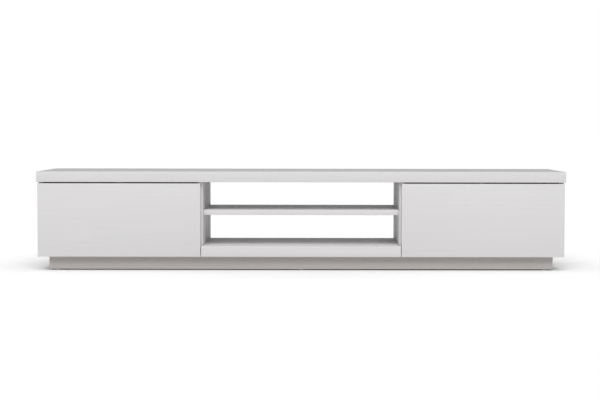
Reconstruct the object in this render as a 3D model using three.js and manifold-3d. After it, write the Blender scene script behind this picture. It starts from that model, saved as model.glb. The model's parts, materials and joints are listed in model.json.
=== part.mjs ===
// A wide, low TV stand: an open middle bay between two cabinets, each closed by a front flap
// that is hinged along its bottom edge and held by a brake-rod stay.
// Millimetres, +Z up, front towards -Y. The origin is on the floor under the middle of the stand.

import * as THREE from 'three';
import { mergeVertices } from 'three/addons/utils/BufferGeometryUtils.js';
import Module from 'manifold-3d';

const wasm = await Module();
wasm.setup();

// ---------------------------------------------------------------------------
// Driving dimensions
// ---------------------------------------------------------------------------

// The whole stand.
const WIDTH = 1800; // top panel, end to end
const DEPTH = 400; // top panel, front to back
const HEIGHT = 338; // floor to upper surface
const BODY_BOTTOM = 48; // floor to the underside of the body
const TOP_OVERHANG = 4; // top panel past the body, at each end

// Boards.
const BOARD = 18; // body, flaps, shelf and plinth
const TOP_BOARD = 36; // top panel
const BACK_BOARD = 3; // back panels
const JOINT_GAP = 0.3; // between two pieces that meet

// Flaps.
const FLAP_TOP_GAP = 4.5; // between a flap and the top panel
const FLAP_SIDE_GAP = 2.5; // between a flap and the bay fascia
const FLAP_BACK_GAP = 3; // between a flap and the body's front edges

// Middle bay.
const BAY_WIDTH = 670; // clear width between the dividers
const FASCIA_OVERLAY = 5; // fascia over each divider's front edge
const SHELF_CLEAR_BELOW = 104; // bay floor to the shelf's underside
const SHELF_FRONT_SETBACK = 21; // behind the body's front edges
const SHELF_BACK_SETBACK = 5; // in front of the body's back edges

// Back panels in their grooves, and their cable outlets.
const BACK_INSET = 10; // back panel in front of the body's back edges
const GROOVE_DEPTH = 8;
const OUTLET_RADIUS = 30;
const GROMMET_WALL = 3;
const GROMMET_FLANGE_RADIUS = 35;
const GROMMET_FLANGE = 1.5; // flange thickness

// Plinth and glides.
const PLINTH_RECESS = 34; // behind the body, all round
const GLIDE_HEIGHT = 3;
const GLIDE_RADIUS = 8;
const GLIDE_END_MARGIN = 30; // plinth end to the outer glides

// Cup hinges: the pin is the flap's axis.
const HINGE_UP = 7.5; // axis above the flap's bottom edge
const HINGE_IN = 9.5; // axis in front of the flap's back face
const HINGE_END_MARGIN = 90; // flap end to a hinge
const CUP_RADIUS = 17.5; // bored hole
const CUP_DEPTH = 13.5; // bored hole
const CUP_EDGE = 3; // bored hole to the flap's bottom edge
const CUP_FLANGE = 1.2; // flange thickness
const CUP_FLANGE_WIDTH = 56;
const CUP_FLANGE_LOW = 3; // flange's lower edge above the axis
const CUP_FLANGE_HIGH = 24; // flange's upper edge above the axis
const CUP_SCREW_SPACING = 45;
const PIN_RADIUS = 1.5;
const PIN_LENGTH = 15;
const RUNNING_CLEARANCE = 0.15; // pin in its bore
const EYE_RADIUS = 2.6; // rolled end of the hinge arm
const ARM_WIDTH = 8;
const ARM_THICKNESS = 3;
const ARM_CLEARANCE = 0.4; // hinge arm in the cup's slot
const FOOT_WIDTH = 32;
const FOOT_LENGTH = 38;
const FOOT_SETBACK = 4; // behind the body's front edges
const FOOT_SCREW_SPACING = 20;
const SCREW_HOLE_RADIUS = 2.2;

// Brake-rod stays: flap pivot and base pivot are equally far from the flap's axis,
// so the rod turns at half the flap's angle.
const STAY_REACH = 120; // flap axis to each stay pivot
const STAY_PIVOT_IN = 18; // flap pivot behind the flap's axis
const STAY_CLOSED_ANGLE = THREE.MathUtils.degToRad(30); // between the pivots, seen from the axis
const STAY_OFFSET = 16; // rod in from the side panel
const ROD_RADIUS = 3;
const ROD_CLEARANCE = 0.4; // rod in the swivel block
const ROD_HEAD_RADIUS = 5;
const ROD_HEAD_WIDTH = 6;
const ROD_STOP_LENGTH = 4;
const ROD_STOP_GAP = 0.5; // stop to block with the flap open
const BLOCK_LENGTH = 16; // along the rod
const BLOCK_HEIGHT = 16;
const BLOCK_INNER = 6.5; // block past the rod's axis, cabinet side
const BLOCK_OUTER = 8; // block past the rod's axis, panel side
const STUB_RADIUS = 4;
const STUB_LENGTH = 3.6;
const STAY_PLATE = 3; // plate thickness of the base
const STAY_BASE_WIDTH = 26;
const STAY_BASE_HEIGHT = 52;
const STAY_BASE_SCREW_SPACING = 36;
const STAY_BOSS_RADIUS = 8;
const BRACKET_PLATE = 2.5; // plate thickness of the flap bracket
const BRACKET_PLATE_HEIGHT = 36;
const BRACKET_PLATE_INNER = 13; // plate past the rod's axis, cabinet side
const BRACKET_SCREW_SPACING = 24;
const BRACKET_LUG = 3; // lug thickness
const BRACKET_LUG_RADIUS = 6;
const BRACKET_PIN_RADIUS = 2.5;
const BRACKET_PIN_END = 1.5; // pin past the rod's head

// Push-to-open latches.
const LATCH_WIDTH = 18;
const LATCH_HEIGHT = 20;
const LATCH_LENGTH = 54;
const LATCH_SETBACK = 2; // behind the body's front edges
const LATCH_AXIS_DROP = 12; // plunger axis under the top panel
const LATCH_EAR_WIDTH = 42;
const LATCH_EAR_LENGTH = 26;
const LATCH_EAR = 3; // thickness of the fixing ears
const LATCH_SCREW_SPACING = 30;
const LATCH_BORE_DEPTH = 44;
const PLUNGER_RADIUS = 4;
const PLUNGER_LENGTH = 40;
const PLUNGER_TIP_RADIUS = 5.5;
const PLUNGER_TIP = 3; // tip thickness
const PLUNGER_CLEARANCE = 0.3;
const STRIKE_WIDTH = 26;
const STRIKE_HEIGHT = 12;
const STRIKE = 1; // strike thickness

// Bumpers on the flaps.
const BUMPER_RADIUS = 4;
const BUMPER_DROP = 12; // under the flap's top edge

// Flats around a round shape.
const SIDES = 24;
const WIDE_SIDES = 36; // cups, outlets and grommets
const HOLE_SIDES = 12; // screw holes

// ---------------------------------------------------------------------------
// Planes and places that follow from them
// ---------------------------------------------------------------------------

const frontY = -DEPTH / 2; // flaps and fascia
const backY = DEPTH / 2;
const bodyFrontY = frontY + BOARD + FLAP_BACK_GAP;
const bodyHalf = WIDTH / 2 - TOP_OVERHANG;
const topUnder = HEIGHT - TOP_BOARD;
const baseTop = BODY_BOTTOM + BOARD;
const bayFloorTop = baseTop + JOINT_GAP + BOARD;
const sideInner = bodyHalf - BOARD;
const bayHalf = BAY_WIDTH / 2;
const dividerOuter = bayHalf + BOARD;
const fasciaHalf = bayHalf + FASCIA_OVERLAY;

const flapInner = fasciaHalf + FLAP_SIDE_GAP;
const flapWidth = bodyHalf - flapInner;
const flapCentre = (bodyHalf + flapInner) / 2;
const flapTop = topUnder - FLAP_TOP_GAP;
const flapBackY = frontY + BOARD;

const axisY = flapBackY - HINGE_IN;
const axisZ = BODY_BOTTOM + HINGE_UP;

const backPanelY = backY - BACK_INSET - BACK_BOARD;

const plinthHalf = bodyHalf - PLINTH_RECESS;
const plinthFrontY = frontY + PLINTH_RECESS;
const plinthBackY = backY - PLINTH_RECESS;
const plinthLow = GLIDE_HEIGHT + JOINT_GAP;
const plinthHigh = BODY_BOTTOM - JOINT_GAP;

// Stay pivots relative to the flap's axis, with y towards the back.
const bracketAngle = Math.asin(STAY_PIVOT_IN / STAY_REACH);
const bracketY = STAY_REACH * Math.sin(bracketAngle);
const bracketZ = STAY_REACH * Math.cos(bracketAngle);
const blockY = STAY_REACH * Math.sin(bracketAngle + STAY_CLOSED_ANGLE);
const blockZ = STAY_REACH * Math.cos(bracketAngle + STAY_CLOSED_ANGLE);
const rodSlope = bracketAngle + STAY_CLOSED_ANGLE / 2;
const openReach = 2 * STAY_REACH * Math.sin((STAY_CLOSED_ANGLE + Math.PI / 2) / 2);
const rodStopStart = openReach + BLOCK_LENGTH / 2 + ROD_STOP_GAP;
const rodLength = rodStopStart + ROD_STOP_LENGTH;
const rodX = sideInner - STAY_OFFSET;

// ---------------------------------------------------------------------------
// Materials
// ---------------------------------------------------------------------------

function material(color, roughness, metalness = 0) {
  return new THREE.MeshStandardMaterial({ color, roughness, metalness });
}

const laminate = material(0xe6e5e4, 0.5);
const warmLaminate = material(0xd4cfcc, 0.5); // plinth
const hardboard = material(0xdcdbd8, 0.7);
const steel = material(0xb9bbbe, 0.3, 1);
const darkSteel = material(0x8b8e92, 0.35, 1);
const greyPlastic = material(0x9a9c9f, 0.5);
const whitePlastic = material(0xe2e2e0, 0.45);
const clearRubber = material(0xc9cbcc, 0.6);
const glidePlastic = material(0xc8c7c4, 0.5);

// ---------------------------------------------------------------------------
// Shapes
// ---------------------------------------------------------------------------

function block([x0, x1], [y0, y1], [z0, z1]) {
  const geometry = new THREE.BoxGeometry(Math.abs(x1 - x0), Math.abs(y1 - y0), Math.abs(z1 - z0));
  return geometry.translate((x0 + x1) / 2, (y0 + y1) / 2, (z0 + z1) / 2);
}

// A round bar along X, Y or Z, from one value to another, through the given point.
function bar(axis, radius, from, to, through = [0, 0, 0], sides = SIDES) {
  const geometry = new THREE.CylinderGeometry(radius, radius, Math.abs(to - from), sides);
  if (axis === 'x') geometry.rotateZ(-Math.PI / 2);
  if (axis === 'z') geometry.rotateX(Math.PI / 2);
  const place = new THREE.Vector3(...through);
  place[axis] = (from + to) / 2;
  return geometry.translate(place.x, place.y, place.z);
}

// A bar whose flats, not its corners, lie at the radius: it cuts a hole that is never too small.
function bore(axis, radius, from, to, through, sides = SIDES) {
  return bar(axis, radius / Math.cos(Math.PI / sides), from, to, through, sides);
}

function span(centre, length) {
  return [centre - length / 2, centre + length / 2];
}

// From one value to another on the cabinet's own side of the stand.
function outward(side, from, to) {
  return side > 0 ? [from, to] : [-to, -from];
}

function toManifold(geometry) {
  const bare = geometry.clone();
  bare.deleteAttribute('normal');
  bare.deleteAttribute('uv');
  const merged = mergeVertices(bare);
  return new wasm.Manifold(new wasm.Mesh({
    numProp: 3,
    vertProperties: new Float32Array(merged.attributes.position.array),
    triVerts: new Uint32Array(merged.index.array),
  }));
}

function toGeometry(manifold) {
  const mesh = manifold.getMesh();
  const geometry = new THREE.BufferGeometry();
  geometry.setAttribute('position', new THREE.BufferAttribute(mesh.vertProperties, mesh.numProp));
  geometry.setIndex(new THREE.BufferAttribute(mesh.triVerts, 1));
  geometry.computeVertexNormals();
  return geometry;
}

function join(...shapes) {
  return toGeometry(shapes.map(toManifold).reduce((whole, shape) => whole.add(shape)));
}

function cut(shape, ...tools) {
  return toGeometry(tools.map(toManifold).reduce((left, tool) => left.subtract(tool), toManifold(shape)));
}

function part(name, geometry, finish, parent, place = [0, 0, 0]) {
  const mesh = new THREE.Mesh(geometry, finish);
  mesh.name = name;
  mesh.position.set(...place);
  parent.add(mesh);
  return mesh;
}

// ---------------------------------------------------------------------------
// Body: boards
// ---------------------------------------------------------------------------

const stand = new THREE.Group();
const cabinets = [['left', -1], ['right', 1]];

// The groove that holds one cabinet's back panel: the panel's own edges plus a clearance.
const grooveY = [backPanelY - JOINT_GAP, backPanelY + BACK_BOARD + JOINT_GAP];
const grooveX = [dividerOuter - GROOVE_DEPTH, sideInner + GROOVE_DEPTH];
const grooveZ = [baseTop - GROOVE_DEPTH, topUnder + GROOVE_DEPTH];

function grooveFor(side) {
  return block(outward(side, ...grooveX), grooveY, grooveZ);
}

function addTopPanel() {
  const slab = block([-WIDTH / 2, WIDTH / 2], [frontY, backY], [topUnder, HEIGHT]);
  part('top_panel', cut(slab, ...cabinets.map(([, side]) => grooveFor(side))), laminate, stand);
}

function addUprights(label, side) {
  const sideX = outward(side, sideInner, bodyHalf);
  const panel = block(sideX, [bodyFrontY, backY], [BODY_BOTTOM, topUnder - JOINT_GAP]);
  part(`${label}_side_panel`, cut(panel, grooveFor(side)), laminate, stand);

  const dividerX = outward(side, bayHalf, dividerOuter);
  const divider = block(dividerX, [bodyFrontY, backY], [baseTop + JOINT_GAP, topUnder - JOINT_GAP]);
  part(`${label}_divider`, cut(divider, grooveFor(side)), laminate, stand);
}

function addBasePanel() {
  const half = sideInner - JOINT_GAP;
  const base = block([-half, half], [bodyFrontY, backY], [BODY_BOTTOM, baseTop]);
  part('base_panel', cut(base, ...cabinets.map(([, side]) => grooveFor(side))), laminate, stand);
}

function addBay() {
  const half = bayHalf - JOINT_GAP;
  const floorY = [frontY + BOARD + JOINT_GAP, backY];
  const floor = block([-half, half], floorY, [baseTop + JOINT_GAP, bayFloorTop]);
  part('bay_floor', floor, laminate, stand);

  const fascia = block([-fasciaHalf, fasciaHalf], [frontY, frontY + BOARD], [BODY_BOTTOM, bayFloorTop]);
  part('bay_fascia', fascia, laminate, stand);

  const shelfY = [bodyFrontY + SHELF_FRONT_SETBACK, backY - SHELF_BACK_SETBACK];
  const shelfLow = bayFloorTop + SHELF_CLEAR_BELOW;
  part('bay_shelf', block([-half, half], shelfY, [shelfLow, shelfLow + BOARD]), laminate, stand);
}

function addBackPanel(label, side) {
  const middle = [side * (dividerOuter + sideInner) / 2, 0, (baseTop + topUnder) / 2];
  const panelX = outward(side, grooveX[0] + JOINT_GAP, grooveX[1] - JOINT_GAP);
  const panelY = [backPanelY, backPanelY + BACK_BOARD];
  const panelZ = [grooveZ[0] + JOINT_GAP, grooveZ[1] - JOINT_GAP];
  const outlet = bore('y', OUTLET_RADIUS, panelY[0] - 1, panelY[1] + 1, middle, WIDE_SIDES);
  part(`${label}_back_panel`, cut(block(panelX, panelY, panelZ), outlet), hardboard, stand);

  // A flanged ring, pushed in from behind: the profile is (radius, distance along its axis).
  const ringOuter = OUTLET_RADIUS - JOINT_GAP;
  const ringInner = ringOuter - GROMMET_WALL;
  const flangeFront = BACK_BOARD + JOINT_GAP;
  const flangeBack = flangeFront + GROMMET_FLANGE;
  const profile = [
    [ringInner, 0],
    [ringOuter, 0],
    [ringOuter, flangeFront],
    [GROMMET_FLANGE_RADIUS, flangeFront],
    [GROMMET_FLANGE_RADIUS - 1, flangeBack],
    [ringInner, flangeBack],
    [ringInner, 0],
  ].map(([radius, along]) => new THREE.Vector2(radius, along));
  const ring = new THREE.LatheGeometry(profile, WIDE_SIDES);
  part(`${label}_cable_grommet`, ring, greyPlastic, stand, [middle[0], backPanelY, middle[2]]);
}

// ---------------------------------------------------------------------------
// Plinth and glides
// ---------------------------------------------------------------------------

function addPlinth() {
  const plinthZ = [plinthLow, plinthHigh];
  const long = [-plinthHalf, plinthHalf];
  const between = [plinthFrontY + BOARD + JOINT_GAP, plinthBackY - BOARD - JOINT_GAP];
  part('plinth_front', block(long, [plinthFrontY, plinthFrontY + BOARD], plinthZ), warmLaminate, stand);
  part('plinth_back', block(long, [plinthBackY - BOARD, plinthBackY], plinthZ), warmLaminate, stand);
  for (const [label, side] of cabinets) {
    const endX = outward(side, plinthHalf - BOARD, plinthHalf);
    part(`plinth_${label}_end`, block(endX, between, plinthZ), warmLaminate, stand);
    const railX = outward(side, bayHalf, dividerOuter);
    part(`plinth_${label}_rail`, block(railX, between, plinthZ), warmLaminate, stand);
  }
}

function addGlides() {
  const rows = [['front', plinthFrontY + BOARD / 2], ['back', plinthBackY - BOARD / 2]];
  const columns = [['left', -1], ['middle', 0], ['right', 1]];
  for (const [row, y] of rows) {
    for (const [column, side] of columns) {
      const glide = bar('z', GLIDE_RADIUS, 0, GLIDE_HEIGHT);
      const x = side * (plinthHalf - GLIDE_END_MARGIN);
      part(`glide_${row}_${column}`, glide, glidePlastic, stand, [x, y, 0]);
    }
  }
}

// ---------------------------------------------------------------------------
// Cup hinges. Each piece is drawn about the pin, with y towards the back.
// ---------------------------------------------------------------------------

const armLow = baseTop - axisZ + JOINT_GAP; // underside of the arm, over the base panel
const armHigh = armLow + ARM_THICKNESS;
const cupZ = CUP_EDGE + CUP_RADIUS - HINGE_UP; // cup's centre above the pin

function hingeArm() {
  const width = span(0, ARM_WIDTH);
  const thickness = span(0, ARM_THICKNESS);
  const footStart = bodyFrontY - axisY + FOOT_SETBACK;
  const footEnd = footStart + FOOT_LENGTH;
  const footMiddle = (footStart + footEnd) / 2;
  const whole = join(
    bar('x', EYE_RADIUS, ...width),
    block(width, thickness, [0, armHigh]),
    block(width, [thickness[0], footEnd], [armLow, armHigh]),
    block(span(0, FOOT_WIDTH), [footStart, footEnd], [armLow, armHigh]),
  );
  const screwHoles = span(0, FOOT_SCREW_SPACING).map((x) => (
    bore('z', SCREW_HOLE_RADIUS, armLow - 1, armHigh + 1, [x, footMiddle, 0], HOLE_SIDES)
  ));
  const pinHole = bore('x', PIN_RADIUS + RUNNING_CLEARANCE, -ARM_WIDTH, ARM_WIDTH);
  return cut(whole, pinHole, ...screwHoles);
}

function hingeCup() {
  const flangeBack = HINGE_IN + JOINT_GAP + CUP_FLANGE;
  const cupEnd = HINGE_IN - CUP_DEPTH + JOINT_GAP;
  const flangeY = [HINGE_IN + JOINT_GAP, flangeBack];
  const flangeZ = [CUP_FLANGE_LOW, CUP_FLANGE_HIGH];
  const reach = EYE_RADIUS + ARM_CLEARANCE;
  const whole = join(
    bar('y', CUP_RADIUS - JOINT_GAP, cupEnd, flangeBack, [0, 0, cupZ], WIDE_SIDES),
    block(span(0, CUP_FLANGE_WIDTH), flangeY, flangeZ),
  );
  // Below the flange the cup's rim ends level with the flap's face.
  const reliefZ = [-2 * CUP_RADIUS, CUP_FLANGE_LOW];
  const rimRelief = block(span(0, 4 * CUP_RADIUS), [HINGE_IN, flangeBack + 1], reliefZ);
  const slotX = span(0, ARM_WIDTH + 2 * ARM_CLEARANCE);
  const slot = block(slotX, [-reach, flangeBack + 1], [-reach, armHigh + reach]);
  const pinHole = bore('x', PIN_RADIUS + RUNNING_CLEARANCE, ...span(0, PIN_LENGTH + 2 * JOINT_GAP));
  const flangeMiddle = (CUP_FLANGE_LOW + CUP_FLANGE_HIGH) / 2;
  const screwHoles = span(0, CUP_SCREW_SPACING).map((x) => (
    bore('y', SCREW_HOLE_RADIUS, HINGE_IN, flangeBack + 1, [x, 0, flangeMiddle], HOLE_SIDES)
  ));
  return cut(whole, rimRelief, slot, pinHole, ...screwHoles);
}

// ---------------------------------------------------------------------------
// Brake-rod stays. Bracket and block pivots are at the origin of their pieces.
// ---------------------------------------------------------------------------

const lugStart = ROD_HEAD_WIDTH / 2 + 0.5; // lug beside the rod's head
const lugEnd = lugStart + BRACKET_LUG;

function stayBracket(side) {
  const faceY = HINGE_IN + JOINT_GAP - bracketY; // flap's back face, from the pivot
  const lugX = outward(side, lugStart, lugEnd);
  const plateX = outward(side, -BRACKET_PLATE_INNER, lugEnd);
  const plateY = [faceY, faceY + BRACKET_PLATE];
  const screwX = side * -(BRACKET_PLATE_INNER + ROD_HEAD_WIDTH / 2) / 2;
  const whole = join(
    block(plateX, plateY, span(0, BRACKET_PLATE_HEIGHT)),
    block(lugX, [faceY, 0], span(0, 2 * BRACKET_LUG_RADIUS)),
    bar('x', BRACKET_LUG_RADIUS, ...lugX),
    bar('x', BRACKET_PIN_RADIUS, ...outward(side, -(ROD_HEAD_WIDTH / 2 + BRACKET_PIN_END), lugEnd)),
  );
  const screwHoles = span(0, BRACKET_SCREW_SPACING).map((z) => (
    bore('y', SCREW_HOLE_RADIUS, plateY[0] - 1, plateY[1] + 1, [screwX, 0, z], HOLE_SIDES)
  ));
  return cut(whole, ...screwHoles);
}

function stayRod() {
  const whole = join(
    bar('x', ROD_HEAD_RADIUS, ...span(0, ROD_HEAD_WIDTH)),
    bar('y', ROD_RADIUS, 0, rodLength),
    bar('y', ROD_HEAD_RADIUS, rodStopStart, rodLength),
  );
  return cut(whole, bore('x', BRACKET_PIN_RADIUS + RUNNING_CLEARANCE, -ROD_HEAD_WIDTH, ROD_HEAD_WIDTH));
}

function stayBlock(side) {
  const body = block(
    outward(side, -BLOCK_INNER, BLOCK_OUTER),
    span(0, BLOCK_LENGTH),
    span(0, BLOCK_HEIGHT),
  );
  const rodHole = bore('y', ROD_RADIUS + ROD_CLEARANCE, -BLOCK_LENGTH, BLOCK_LENGTH);
  const stubFloor = BLOCK_OUTER - STUB_LENGTH - 2 * JOINT_GAP;
  const stubHole = bore('x', STUB_RADIUS + RUNNING_CLEARANCE, ...outward(side, stubFloor, BLOCK_OUTER + 1));
  return cut(body, rodHole, stubHole);
}

function stayBase(side) {
  const plateEnd = STAY_OFFSET - JOINT_GAP;
  const plateStart = plateEnd - STAY_PLATE;
  const bossStart = BLOCK_OUTER + JOINT_GAP;
  const plateX = outward(side, plateStart, plateEnd);
  const whole = join(
    block(plateX, span(0, STAY_BASE_WIDTH), span(0, STAY_BASE_HEIGHT)),
    bar('x', STAY_BOSS_RADIUS, ...outward(side, bossStart, plateEnd)),
    bar('x', STUB_RADIUS, ...outward(side, BLOCK_OUTER - STUB_LENGTH, plateEnd)),
  );
  const screwHoles = span(0, STAY_BASE_SCREW_SPACING).map((z) => (
    bore('x', SCREW_HOLE_RADIUS, plateX[0] - 1, plateX[1] + 1, [0, 0, z], HOLE_SIDES)
  ));
  return cut(whole, ...screwHoles);
}

// ---------------------------------------------------------------------------
// Push-to-open latches. Body and plunger are drawn about the plunger's axis,
// with y = 0 at the body's front face.
// ---------------------------------------------------------------------------

const latchFrontY = bodyFrontY + LATCH_SETBACK;
const latchZ = topUnder - LATCH_AXIS_DROP;

function latchBody() {
  const high = LATCH_AXIS_DROP - JOINT_GAP;
  const low = high - LATCH_HEIGHT;
  const earY = [LATCH_LENGTH - LATCH_EAR_LENGTH, LATCH_LENGTH];
  const whole = join(
    block(span(0, LATCH_WIDTH), [0, LATCH_LENGTH], [low, high]),
    block(span(0, LATCH_EAR_WIDTH), earY, [high - LATCH_EAR, high]),
  );
  const plungerHole = bore('y', PLUNGER_RADIUS + PLUNGER_CLEARANCE, -1, LATCH_BORE_DEPTH);
  const earMiddle = (earY[0] + earY[1]) / 2;
  const screwHoles = span(0, LATCH_SCREW_SPACING).map((x) => (
    bore('z', SCREW_HOLE_RADIUS, high - LATCH_EAR - 1, high + 1, [x, earMiddle, 0], HOLE_SIDES)
  ));
  return cut(whole, plungerHole, ...screwHoles);
}

// With the flap closed the tip stands just off the strike.
function latchPlunger() {
  const strikeFaceY = flapBackY + JOINT_GAP + STRIKE;
  const tipY = strikeFaceY + JOINT_GAP - latchFrontY;
  return join(
    bar('y', PLUNGER_TIP_RADIUS, tipY, tipY + PLUNGER_TIP),
    bar('y', PLUNGER_RADIUS, tipY, tipY + PLUNGER_LENGTH),
  );
}

// ---------------------------------------------------------------------------
// One cabinet's moving front and its fittings
// ---------------------------------------------------------------------------

const faceFront = HINGE_IN - BOARD; // flap's front face, from the axis
const flapLow = -HINGE_UP;
const flapHigh = flapTop - axisZ;
const hingePlaces = [['outer', 1], ['inner', -1]];
const hingeReach = flapWidth / 2 - HINGE_END_MARGIN; // flap's middle to a hinge

// Each bumper meets the middle of the edge that the flap covers: all of the side panel's,
// and part of the divider's.
const bumperInset = { outer: BOARD / 2, inner: (dividerOuter - flapInner) / 2 };

// The flap's group has its origin on the axis, at the middle of the flap.
function addFlap(label, side) {
  const flap = new THREE.Group();
  flap.position.set(side * flapCentre, axisY, axisZ);
  stand.add(flap);

  const cupY = [HINGE_IN - CUP_DEPTH, HINGE_IN + 1];
  const cupHoles = hingePlaces.map(([, end]) => (
    bore('y', CUP_RADIUS, ...cupY, [side * end * hingeReach, 0, cupZ], WIDE_SIDES)
  ));
  const panel = block(span(0, flapWidth), [faceFront, HINGE_IN], [flapLow, flapHigh]);
  part(`${label}_flap_panel`, cut(panel, ...cupHoles), laminate, flap);

  for (const [place, end] of hingePlaces) {
    const x = side * end * hingeReach;
    part(`${label}_${place}_hinge_cup`, hingeCup(), steel, flap, [x, 0, 0]);
    const pin = bar('x', PIN_RADIUS, ...span(0, PIN_LENGTH));
    part(`${label}_${place}_hinge_pin`, pin, darkSteel, flap, [x, 0, 0]);
    part(`${label}_${place}_hinge_arm`, hingeArm(), steel, stand, [side * flapCentre + x, axisY, axisZ]);

    const bumper = bar('y', BUMPER_RADIUS, HINGE_IN + JOINT_GAP, HINGE_IN + FLAP_BACK_GAP - JOINT_GAP);
    const bumperX = side * end * (flapWidth / 2 - bumperInset[place]);
    const bumperPlace = [bumperX, 0, flapHigh - BUMPER_DROP];
    part(`${label}_${place}_bumper`, bumper, clearRubber, flap, bumperPlace);
  }

  const strikeY = [HINGE_IN + JOINT_GAP, HINGE_IN + JOINT_GAP + STRIKE];
  const strike = block(span(0, STRIKE_WIDTH), strikeY, span(0, STRIKE_HEIGHT));
  part(`${label}_strike_plate`, strike, steel, flap, [0, 0, latchZ - axisZ]);

  const bracketPlace = [side * (rodX - flapCentre), bracketY, bracketZ];
  part(`${label}_stay_bracket`, stayBracket(side), steel, flap, bracketPlace);
}

function addStay(label, side) {
  const blockPlace = [side * rodX, axisY + blockY, axisZ + blockZ];
  part(`${label}_stay_base`, stayBase(side), steel, stand, blockPlace);

  const swivel = part(`${label}_stay_block`, stayBlock(side), greyPlastic, stand, blockPlace);
  swivel.rotation.x = -rodSlope;

  const rod = part(`${label}_stay_rod`, stayRod(), darkSteel, stand);
  rod.position.set(side * rodX, axisY + bracketY, axisZ + bracketZ);
  rod.rotation.x = -rodSlope;
}

function addLatch(label, side) {
  const place = [side * flapCentre, latchFrontY, latchZ];
  part(`${label}_latch_body`, latchBody(), whitePlastic, stand, place);
  part(`${label}_latch_plunger`, latchPlunger(), greyPlastic, stand, place);
}

// ---------------------------------------------------------------------------
// The stand
// ---------------------------------------------------------------------------

addTopPanel();
addBasePanel();
addBay();
for (const [label, side] of cabinets) {
  addUprights(label, side);
  addBackPanel(label, side);
  addFlap(label, side);
  addStay(label, side);
  addLatch(label, side);
}
addPlinth();
addGlides();

export default stand;
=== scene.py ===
# %% [markdown]
# # A low TV stand with two drop-down doors
# The real object is a flat-pack stand: laminated boards, joined by hidden fittings, with two
# flap doors that fold down on cup hinges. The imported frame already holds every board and
# fitting at its true size, and knows how each one moves. This lesson dresses that frame: it
# gives the boards their rounded edge banding, the fittings their fine shapes, and every surface
# its finish. The two cabinets mirror each other, so everything is made on the right and copied
# to the left. Blender counts in metres, and MM turns millimetres into them.

# %% Load the frame
import json
import math

import bpy
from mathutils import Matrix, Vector


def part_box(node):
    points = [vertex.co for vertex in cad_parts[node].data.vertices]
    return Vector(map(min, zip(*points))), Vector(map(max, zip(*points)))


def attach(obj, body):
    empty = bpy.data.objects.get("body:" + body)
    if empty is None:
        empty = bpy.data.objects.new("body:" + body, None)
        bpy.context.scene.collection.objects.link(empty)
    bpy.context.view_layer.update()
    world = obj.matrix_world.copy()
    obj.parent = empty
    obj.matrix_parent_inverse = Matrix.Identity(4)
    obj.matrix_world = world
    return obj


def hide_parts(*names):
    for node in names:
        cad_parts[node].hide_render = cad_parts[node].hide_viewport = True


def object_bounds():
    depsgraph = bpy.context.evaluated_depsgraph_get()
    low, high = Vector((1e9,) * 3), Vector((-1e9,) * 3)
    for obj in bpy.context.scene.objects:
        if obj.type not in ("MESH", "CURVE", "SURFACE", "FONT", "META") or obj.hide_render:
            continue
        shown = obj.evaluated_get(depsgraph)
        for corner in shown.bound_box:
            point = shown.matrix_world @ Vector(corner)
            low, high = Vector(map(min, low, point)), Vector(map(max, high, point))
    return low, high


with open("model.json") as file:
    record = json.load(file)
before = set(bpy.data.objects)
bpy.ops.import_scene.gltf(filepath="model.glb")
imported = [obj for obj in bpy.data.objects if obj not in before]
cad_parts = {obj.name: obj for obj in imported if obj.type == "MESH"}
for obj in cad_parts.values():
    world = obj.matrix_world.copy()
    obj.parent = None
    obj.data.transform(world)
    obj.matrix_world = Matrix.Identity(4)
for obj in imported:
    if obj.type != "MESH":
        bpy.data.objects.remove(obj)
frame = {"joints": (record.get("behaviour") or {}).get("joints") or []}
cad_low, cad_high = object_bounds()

MM = 0.001
CARCASS = "carcass"
FLAP = "right_flap"
joint_places = {joint["name"]: Vector(joint.get("pos_m", (0, 0, 0))) for joint in frame["joints"]}
print("stand measures", [round(side, 3) for side in cad_high - cad_low])

# %% [markdown]
# ## Camera
# A long lens far from the stand keeps its front nearly flat on, as a furniture catalogue does.
# The camera stands a little above the top and looks slightly down. A short lens closer by would
# fit the stand in as well, but would show more of the top and pull the ends wide.

# %% Camera
FRONT_Y = cad_low.y
CAMERA_DISTANCE = 5.083
CAMERA_HEIGHT = 0.480
CAMERA_SIDE = 0.047
CAMERA_DOWN = 2.814  # degrees
CAMERA_ROLL = -0.08  # degrees, as a tripod that is not quite level
SENSOR_WIDTH = 36  # millimetres, as is the lens
LENS = 89.9
SIDE_SHIFT = -0.025

camera_data = bpy.data.cameras.new("camera")
camera_data.sensor_width = SENSOR_WIDTH
camera_data.lens = LENS
camera_data.shift_x = SIDE_SHIFT
camera = bpy.data.objects.new("camera", camera_data)
camera.location = (CAMERA_SIDE, FRONT_Y - CAMERA_DISTANCE, CAMERA_HEIGHT)
camera.rotation_euler = (math.radians(90 - CAMERA_DOWN), math.radians(CAMERA_ROLL), 0)
bpy.context.scene.collection.objects.link(camera)
bpy.context.scene.camera = camera
print("camera stands", round(CAMERA_DISTANCE, 2), "m in front of the doors")

# %% [markdown]
# ## Working by operator
# Every operator acts on all that is selected, and a freshly loaded frame is selected whole.
# These helpers clear the selection first, and put the place of a piece into its mesh, so that
# its object stays at the origin, as the frame's own nodes do. Without that, a pattern that reads
# object coordinates would slide off its piece.

# %% Selecting and settling
def clear_selection():
    if bpy.context.mode != "OBJECT":
        bpy.ops.object.mode_set(mode="OBJECT")
    bpy.ops.object.select_all(action="DESELECT")


def pick(piece):
    clear_selection()
    piece.select_set(True)
    bpy.context.view_layer.objects.active = piece


def settle(name):
    piece = bpy.context.active_object
    piece.name = name
    piece.data.name = name
    bpy.ops.object.transform_apply(location=True, rotation=True, scale=True)
    return piece


# %% [markdown]
# ## Blanks
# A joiner starts from a sawn blank and a turner from a bar. A box blank is given by its two
# corners, because that is how the frame gives its places, and a bar by its axis and both ends.
# Blender's own primitives take a middle and a size, which would have to be worked out each time.

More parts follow.
